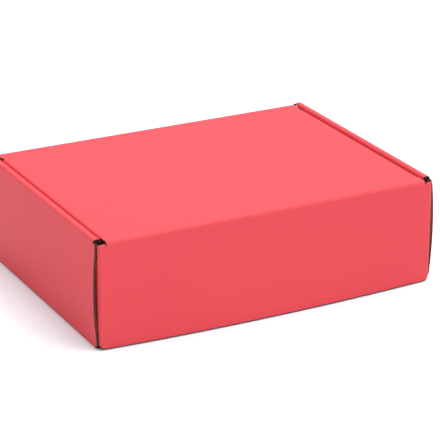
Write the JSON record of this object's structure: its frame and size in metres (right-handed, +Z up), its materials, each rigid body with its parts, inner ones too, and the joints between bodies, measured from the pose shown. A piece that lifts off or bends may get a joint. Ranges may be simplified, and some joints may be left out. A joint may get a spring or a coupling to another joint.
{
  "type": "roll-end mailer gift box",
  "caption": "Flat gift and mailing box of thin corrugated board, its lid closed by a front flap that tucks into rolled-over side walls.",
  "frame": {"origin": "centre of the footprint, on the surface the box stands on", "axes": "+X to the right along the width, +Y from the front flap to the back wall, +Z up"},
  "size_m": [0.1844, 0.1342, 0.0543],
  "materials": {
    "printed_board": "coral print on the outside, plain brown kraft on the inside and at the cut edges"
  },
  "bodies": {
    "box": {"tray": "printed_board", "lid": "printed_board"},
    "front_flap": {"front_flap": "printed_board"}
  },
  "joints": [
    {"name": "front_flap_hinge", "type": "hinge", "parent": "box", "child": "front_flap", "pos_m": [0, -0.06315, 0.053], "axis": [-1, 0, 0], "range_deg": [0, 150]}
  ]
}
